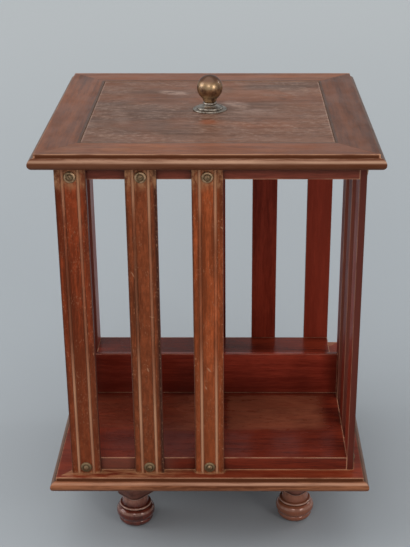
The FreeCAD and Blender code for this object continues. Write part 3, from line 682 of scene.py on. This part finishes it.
def moulded_wood(name, settings, grain, dark, light, bottom, top, edge, lit_tone, highlight_tone,
                 groove=0.0, shaded_end=0.0):
    """Return a moulded board's finish: its face, and the painted light and shade of its edge.

    lit_tone and highlight_tone are the colours of the edge's crown, rubbed and painted as lit, and
    of its painted highlight, groove is how far the panel's edge lies from the axis, and shaded_end
    how dark the face gets to the right."""
    finish = Finish(name, grain)
    finish.start(dark, light)
    x, _, height = finish.axes
    reach = finish.reach
    along = finish.along_face
    finish.paint(dark, finish.between(along, *FACE_SHADE, end=shaded_end))
    if groove:
        dirty = finish.between(reach, *beyond(groove, *GROOVE_DIRT), end=0.9)
        finish.paint(settings.joint, dirty)
    dusty = finish.patches(260, 60, 71.0, (0.34, 0.66), 0.0, edge["dust"], detail=4.0, rough=0.65)
    finish.paint(settings.dust, finish.between(along, *FACE_DUST, start=0.1), dusty,
                 finish.less(1.0, finish.on_side))
    finish.paint(settings.dust, finish.corners(WAX_REACH),
                 finish.patches(160, 60, 79.0, (0.3, 0.6), 0.4),
                 finish.between(reach, *beyond(ARRIS_REACH, *MOULDED_FACE)))
    finish.paint(moulding_colour(finish, settings, bottom, top, edge, lit_tone, highlight_tone),
                 finish.between(height, *beyond(top, *BELOW_FACE), 1.0, 0.0),
                 finish.between(reach, *beyond(ARRIS_REACH, *MOULDED_EDGE)))
    # Bare wood on the joint's walls, painted lighter against their shade.
    if groove:
        finish.paint(settings.joint_wall_lit, finish.between(height, *beyond(top, *GROOVE_WALL)),
                     finish.between(reach, *beyond(groove, *GROOVE_INSIDE)))
    # Rubbed upper arris, also a painted highlight along it, spared on the side mouldings and most on
    # the right.
    arris = beyond(ARRIS_REACH, *UPPER_ARRIS)
    spared = finish.times(finish.on_side, finish.between(x, *RIGHT_SIDE, 0.4, 0.8))
    polish(finish, settings, 0.34, dirt=finish.times(finish.between(reach, *arris[:2]), 0.4),
           wear=finish.times(finish.band(reach, *arris), finish.less(1.0, spared)), gloss=0.2)
    return finish.material


def panel_wood(settings):
    """Return the panel's worn, faded and scuffed polish."""
    finish = Finish("panel_mahogany", ALONG_X)
    finish.start(settings.panel_dark, settings.panel_light, 1.5)
    x, y, height = finish.axes
    finish.paint(settings.frame_light, finish.patches(16, 9, 19.0, (0.42, 0.62), 0.0, 0.5))
    warm_side = finish.less(x, finish.times(y, 0.8))
    finish.paint(settings.frame_light * 0.75, finish.between(warm_side, *PANEL_WARM, end=0.32))
    finish.paint(settings.panel_dark, finish.between(x, *PANEL_DULL, end=0.3))
    stains = finish.patches(140, 55, 59.0, (0.50, 0.68), 0.0, 0.65, detail=4.0, rough=0.7)
    finish.paint(settings.panel_dark, stains)
    finish.paint(settings.scuff,
                 finish.patches(420, 130, 13.0, (0.48, 0.64), detail=4.0, rough=0.8),
                 finish.patches(24, 12, 43.0, (0.42, 0.58), 0.12, 0.6))
    scratches = finish.patches(420, 90, 47.0, (0.42, 0.56), detail=4.0, rough=0.75)
    for mark_x, mark_y, long, wide, turn, strength in PANEL_MARKS:
        mark = finish.patch((mark_x, mark_y, PANEL_TOP), (long, wide, MARK_DEPTH), (0.0, 0.0, turn))
        finish.paint(settings.scratch, mark, scratches, strength)
    warm = finish.patch((*WARM_SPOT, PANEL_TOP), (WARM_SIZE, WARM_SIZE, MARK_DEPTH))
    finish.paint(settings.warm_spot, warm, 0.6)
    finish.paint(settings.scratch, finish.between(finish.reach, *beyond(PANEL_EDGE, *PANEL_RIM)),
                 finish.between(scratches, 0.0, 1.0, 0.1, 0.45))
    # The panel's edge in the joint, painted lighter against its shade.
    finish.paint(settings.joint_wall_lit, finish.between(height, *beyond(PANEL_TOP, *GROOVE_WALL)))
    # Dirt and painted shade in the corner round the flange.
    finish.paint(settings.grime_and_shade, finish.corners(WAX_REACH), 0.5,
                 finish.between(finish.reach, *FLANGE_DIRT_AND_SHADE))
    polish(finish, settings, 0.42, dirt=0.0, wear=0.0, gloss=0.2)
    return finish.material


def metal(name, bright, dark, roughness, blotch=220.0, metallic=1.0, lacquer=0.0, crown=None,
          rim=(1.0, 1.0, 1.0)):
    """Return an aged metal's finish, its patina in blotches and in the corners.

    blotch is how many blotches there are to the metre, crown the pair of heights between which
    the patina closes over: on the ball a painted dark reflection over its top, on the cup washers
    darker lower down. rim is the tint of the outline."""
    finish = Finish(name)
    patina = finish.between(finish.noise(blotch, detail=4.0, rough=0.6), 0.38, 0.66)
    if crown:
        patina = finish.most(patina, finish.between(finish.axes[2], *crown))
    dirt = finish.most(patina, finish.corners(TARNISH_REACH))
    fine = finish.noise(1800, detail=2.0, seed=5.0)
    duller = finish.between(patina, 0.0, 1.0, roughness, roughness + 0.15)
    finish.set(base_color=finish.blend(dirt, bright, dark), metallic=metallic,
               coat_weight=lacquer, coat_roughness=0.10, specular_tint=(*rim, 1.0),
               roughness=finish.add(duller, finish.times(fine, 0.08), clamp=True),
               normal=finish.relief(fine, METAL_DEPTH))
    return finish.material


# ---------------------------------------------------------------- pieces
def give(material, *names):
    """Finish these nodes with a material."""
    for name in names:
        slots = NODES[name].data.materials
        slots.clear()
        slots.append(material)


def each_face(before, after=""):
    """Return the names of the nodes that there is one of on each face."""
    return [before + face + after for face in FACES]


def smoothing():
    """Return the node group that shades a mesh smooth, apart from its sharp edges."""
    group = bpy.data.node_groups.get("shade_by_angle")
    if group:
        return group
    group = bpy.data.node_groups.new("shade_by_angle", "GeometryNodeTree")
    group.interface.new_socket("Geometry", in_out="INPUT", socket_type="NodeSocketGeometry")
    group.interface.new_socket("Geometry", in_out="OUTPUT", socket_type="NodeSocketGeometry")
    start = group.nodes.new("NodeGroupInput")
    clear = group.nodes.new("GeometryNodeRemoveAttribute")
    clear.inputs["Name"].default_value = "custom_normal"
    faces = group.nodes.new("GeometryNodeSetShadeSmooth")
    angle = group.nodes.new("GeometryNodeInputMeshEdgeAngle")
    sharp = group.nodes.new("FunctionNodeCompare")
    sharp.operation = "LESS_THAN"
    sharp.inputs["B"].default_value = SHARP_ANGLE
    edges = group.nodes.new("GeometryNodeSetShadeSmooth")
    edges.domain = "EDGE"
    end = group.nodes.new("NodeGroupOutput")
    link = group.links.new
    link(start.outputs[0], clear.inputs["Geometry"])
    link(clear.outputs["Geometry"], faces.inputs["Geometry"])
    link(faces.outputs["Geometry"], edges.inputs["Geometry"])
    link(angle.outputs["Unsigned Angle"], sharp.inputs["A"])
    link(sharp.outputs["Result"], edges.inputs["Shade Smooth"])
    link(edges.outputs["Geometry"], end.inputs[0])
    return group


def join_faces(piece):
    """Join a piece's faces where their points coincide."""
    joined = piece.modifiers.new("joined faces", "WELD")
    joined.merge_threshold = JOIN_DISTANCE


def shade(piece):
    """Shade a piece smooth, apart from its sharp edges."""
    shading = piece.modifiers.new("shading", "NODES")
    shading.node_group = smoothing()


def close_tips(*names):
    """Close the pointed tips of these turned nodes."""
    for name in names:
        join_faces(NODES[name])
        shade(NODES[name])


def soften(width, *names):
    """Round the sharp edges of these nodes by a width."""
    for name in names:
        piece = NODES[name]
        join_faces(piece)
        whole = piece.modifiers.new("whole faces", "DECIMATE")
        whole.decimate_type = "DISSOLVE"
        whole.angle_limit = FLAT_ANGLE
        arris = piece.modifiers.new("arrises", "BEVEL")
        arris.width = width
        arris.segments = ARRIS_STEPS
        arris.limit_method = "ANGLE"
        arris.angle_limit = ARRIS_ANGLE
        shade(piece)
        flat = piece.modifiers.new("flat faces", "WEIGHTED_NORMAL")
        flat.keep_sharp = True


class BOOKCASE_OT_top(bpy.types.Operator):
    """Finish the top frame and its panel"""

    bl_idname = "bookcase.top"
    bl_label = "Finish Top"

    def execute(self, context):
        wood = context.scene.bookcase_wood
        for side, (tone, shaded_end) in RAIL_TONES.items():
            grain = ALONG_X if side in ("front", "back") else ALONG_Y
            give(moulded_wood("frame_mahogany_" + side, wood, grain, wood.frame_dark * tone,
                              wood.frame_light * tone, RAIL_BOTTOM, RAIL_TOP, TOP_EDGE,
                              wood.moulding_lit, wood.moulding_highlight, PANEL_EDGE, shaded_end),
                 "top_rail_" + side)
        give(panel_wood(wood), "top_panel")
        soften(wood.arris, "top_panel", *each_face("top_rail_"))
        return {"FINISHED"}


class BOOKCASE_OT_case(bpy.types.Operator):
    """Finish the boards, dividers and column of the case"""

    bl_idname = "bookcase.case"
    bl_label = "Finish Case"

    def execute(self, context):
        wood = context.scene.bookcase_wood
        give(moulded_wood("base_mahogany", wood, ALONG_X, wood.ledge_dark, wood.ledge_light,
                          BASE_BOTTOM, BASE_TOP, BASE_EDGE, wood.base_lit_crown, wood.base_highlight),
             "base_board")
        give(floor_board_wood(wood), "plinth_board")
        # The right divider is painted lighter and the left one darker: painted light and shade.
        give(case_wood("case_mahogany_lit_right", wood, ALONG_X, 1.3), "divider_right")
        give(case_wood("case_mahogany_shaded_left", wood, ALONG_X, 0.85), "divider_left")
        give(sub_top_wood(wood), "sub_top")
        give(case_wood("case_mahogany_y", wood, ALONG_Y), "divider_front", "divider_back")
        give(case_wood("case_mahogany_z", wood, ALONG_Z), "column")
        soften(wood.arris, "base_board", "plinth_board", "sub_top", "column",
               *each_face("divider_"))
        return {"FINISHED"}


class BOOKCASE_OT_slats(bpy.types.Operator):
    """Finish the reeded slats"""

    bl_idname = "bookcase.slats"
    bl_label = "Finish Slats"

    def execute(self, context):
        wood = context.scene.bookcase_wood
        for place, tone, side_tone, shade_share, rubbing, inner_tone in (
                ("corner", wood.slat_corner, wood.corner_side, 0.4, 0.35, 0.5),
                ("middle", wood.slat_middle, wood.slat_side, 0.95, 0.35, 0.0),
                ("centre", wood.slat_centre, wood.slat_side, 0.35, 0.15, 0.0)):
            names = each_face("slat_", "_" + place)
            give(slat_wood(place, wood, tone, side_tone, shade_share, rubbing, inner_tone), *names)
            soften(wood.arris / 2, *names)
        return {"FINISHED"}


class BOOKCASE_OT_screws(bpy.types.Operator):
    """Finish the screws, their cup washers and the hidden fixings"""

    bl_idname = "bookcase.screws"
    bl_label = "Finish Screws"

    def execute(self, context):
        tones = context.scene.bookcase_metal
        give(metal("cup_brass", tones.cup, tones.cup_dark, 0.42, crown=CUP_HEIGHTS),
             "slat_cup_washers")
        give(metal("screw_brass", tones.cup * 0.7, tones.cup_dark, 0.5), "slat_screws")
        give(metal("turned_steel", tones.steel, tones.steel * 0.5, 0.30),
             "spindle", "spindle_plate", "spindle_plate_screws", "foot_nut", "foot_nut_washer",
             "retaining_nut", "retaining_washer", "base_board_screws", "top_screws", "knob_stud")
        give(metal("bush_brass", tones.bush, tones.bush * 0.6, 0.28),
             "lower_bush", "upper_bush", "thrust_washer")
        close_tips("slat_screws", "spindle_plate_screws", "base_board_screws", "top_screws")
        return {"FINISHED"}


class BOOKCASE_OT_knob(bpy.types.Operator):
    """Finish the ball knob and its flange"""

    bl_idname = "bookcase.knob"
    bl_label = "Finish Knob"

    def execute(self, context):
        tones = context.scene.bookcase_metal
        # The ball's top is painted darker, as a painted reflection of a dark ceiling.
        give(metal("ball_brass", tones.ball, tones.ball_dark, 0.27, 110.0, metallic=0.9,
                   lacquer=0.45, crown=beyond(BALL_TOP, *BALL_DARK_TOP), rim=(0.30, 0.20, 0.14)),
             "knob_ball")
        give(metal("flange_metal", tones.flange, tones.flange_dark, 0.30),
             "knob_flange", "knob_neck")
        close_tips("knob_ball")
        return {"FINISHED"}


class BOOKCASE_OT_stand(bpy.types.Operator):
    """Finish the cross base, the pivot block and the feet"""

    bl_idname = "bookcase.stand"
    bl_label = "Finish Stand"

    def execute(self, context):
        wood = context.scene.bookcase_wood
        give(stand_wood("lower_bar_mahogany", wood, ALONG_X, STAND_ANGLE), "cross_bar_lower")
        give(stand_wood("upper_bar_mahogany", wood, ALONG_Y, STAND_ANGLE), "cross_bar_upper")
        give(stand_wood("block_mahogany", wood, ALONG_X), "pivot_block")
        give(foot_wood(wood), *["foot_" + corner for corner in CORNERS])
        soften(wood.arris, "cross_bar_lower", "cross_bar_upper", "pivot_block")
        return {"FINISHED"}


# ---------------------------------------------------------------- stage
def floor_finish(stage):
    """Return the floor's matt paint, painted darker near the object, clear from below and fading out
    far off.
    """
    finish = Finish("floor_paint")
    distance = finish.length(finish.place)
    # Painted light falloff: darker near the object, lighter far off.
    tone = finish.blend(finish.between(distance, *FLOOR_FALLOFF), stage.floor_near, stage.floor_far)
    finish.set(base_color=tone, roughness=0.85, specular_ior_level=0.2)
    below = finish.node("ShaderNodeNewGeometry").outputs["Backfacing"]
    clear = finish.node("ShaderNodeBsdfTransparent")
    either = finish.node("ShaderNodeMixShader")
    finish.join(finish.most(below, finish.between(distance, *FLOOR_END)), either.inputs[0])
    finish.join(finish.shader.outputs["BSDF"], either.inputs[1])
    finish.join(clear.outputs[0], either.inputs[2])
    finish.join(either.outputs[0], finish.output.inputs["Surface"])
    return finish.material


def make_floor(stage):
    """Make the plain floor."""
    mesh = bpy.data.meshes.new("floor")
    corners = [(-1, -1), (1, -1), (1, 1), (-1, 1)]
    mesh.from_pydata([(x * FLOOR_HALF, y * FLOOR_HALF, 0.0) for x, y in corners], [],
                     [(0, 1, 2, 3)])
    mesh.materials.append(floor_finish(stage))
    floor = bpy.data.objects.new("floor", mesh)
    bpy.context.scene.collection.objects.link(floor)


def make_sky(stage):
    """Make the even light from all round, seen and reflected as a plain backdrop."""
    sky = bpy.data.worlds.new("sky")
    sky.use_nodes = True
    tree = sky.node_tree
    light = tree.nodes["Background"]
    light.inputs["Color"].default_value = (*stage.sky, 1.0)
    light.inputs["Strength"].default_value = stage.sky_strength
    backdrop = tree.nodes.new("ShaderNodeBackground")
    backdrop.inputs["Color"].default_value = (*stage.backdrop, 1.0)
    rays = tree.nodes.new("ShaderNodeLightPath").outputs
    seen = rays["Is Camera Ray"]
    for ray in ("Is Glossy Ray", "Is Transmission Ray"):
        any_of = tree.nodes.new("ShaderNodeMath")
        any_of.operation = "MAXIMUM"
        tree.links.new(seen, any_of.inputs[0])
        tree.links.new(rays[ray], any_of.inputs[1])
        seen = any_of.outputs[0]
    either = tree.nodes.new("ShaderNodeMixShader")
    tree.links.new(seen, either.inputs[0])
    tree.links.new(light.outputs[0], either.inputs[1])
    tree.links.new(backdrop.outputs[0], either.inputs[2])
    tree.links.new(either.outputs[0], tree.nodes["World Output"].inputs["Surface"])
    bpy.context.scene.world = sky


def make_lamp(name, place, size, power, tint):
    """Make a soft rectangular lamp that faces the bookcase."""
    light = bpy.data.lights.new(name, "AREA")
    light.shape = "RECTANGLE"
    light.size, light.size_y = size
    light.energy = power
    light.color = tint
    lamp = bpy.data.objects.new(name, light)
    lamp.location = place
    lamp.rotation_euler = (LAMP_TARGET - Vector(place)).to_track_quat("-Z", "Y").to_euler()
    bpy.context.scene.collection.objects.link(lamp)


def make_camera(stage):
    """Make the camera and look through it."""
    lens = bpy.data.cameras.new("camera")
    lens.lens = stage.lens
    lens.sensor_fit = "AUTO"
    lens.sensor_width = 36.0
    lens.shift_x = stage.shift_x
    lens.shift_y = stage.shift_y
    camera = bpy.data.objects.new("camera", lens)
    camera.matrix_world = (Matrix.Translation(stage.camera_place)
                           @ Matrix.Rotation(stage.camera_turn, 4, "Z")
                           @ Matrix.Rotation(math.pi / 2 - stage.camera_tilt, 4, "X")
                           @ Matrix.Rotation(stage.camera_roll, 4, "Z"))
    bpy.context.scene.collection.objects.link(camera)
    bpy.context.scene.camera = camera


class BOOKCASE_OT_stage(bpy.types.Operator):
    """Set up the floor, the lamps, the sky and the camera"""

    bl_idname = "bookcase.stage"
    bl_label = "Set Stage"

    def execute(self, context):
        stage = context.scene.bookcase_stage
        make_floor(stage)
        for name, place, size, watts, tint in LAMPS:
            make_lamp(name, place, size, watts * stage.lamp_power, tint)
        make_sky(stage)
        make_camera(stage)
        context.scene.view_settings.view_transform = "Standard"
        return {"FINISHED"}


# ---------------------------------------------------------------- panel and registering
STEPS = (BOOKCASE_OT_stage, BOOKCASE_OT_top, BOOKCASE_OT_case, BOOKCASE_OT_slats,
         BOOKCASE_OT_screws, BOOKCASE_OT_knob, BOOKCASE_OT_stand)


class BOOKCASE_PT_sidebar(bpy.types.Panel):
    """Settings and steps of the bookcase"""

    bl_idname = "BOOKCASE_PT_sidebar"
    bl_label = "Revolving Bookcase"
    bl_space_type = "VIEW_3D"
    bl_region_type = "UI"
    bl_category = "Bookcase"

    def draw(self, context):
        layout = self.layout
        for step in STEPS:
            layout.operator(step.bl_idname)
        for title, settings in (("Wood", context.scene.bookcase_wood),
                                ("Metal", context.scene.bookcase_metal),
                                ("Stage", context.scene.bookcase_stage)):
            box = layout.box()
            box.label(text=title)
            for key in settings.__annotations__:
                box.prop(settings, key)


CLASSES = (WoodSettings, MetalSettings, StageSettings, *STEPS, BOOKCASE_PT_sidebar)


def register():
    for kind in CLASSES:
        bpy.utils.register_class(kind)
    bpy.types.Scene.bookcase_wood = PointerProperty(type=WoodSettings)
    bpy.types.Scene.bookcase_metal = PointerProperty(type=MetalSettings)
    bpy.types.Scene.bookcase_stage = PointerProperty(type=StageSettings)


def unregister():
    del bpy.types.Scene.bookcase_stage
    del bpy.types.Scene.bookcase_metal
    del bpy.types.Scene.bookcase_wood
    for kind in reversed(CLASSES):
        bpy.utils.unregister_class(kind)


def main():
    """Run every step."""
    register()
    for step in STEPS:
        group, name = step.bl_idname.split(".")
        getattr(getattr(bpy.ops, group), name)()


if __name__ == "__main__":
    main()
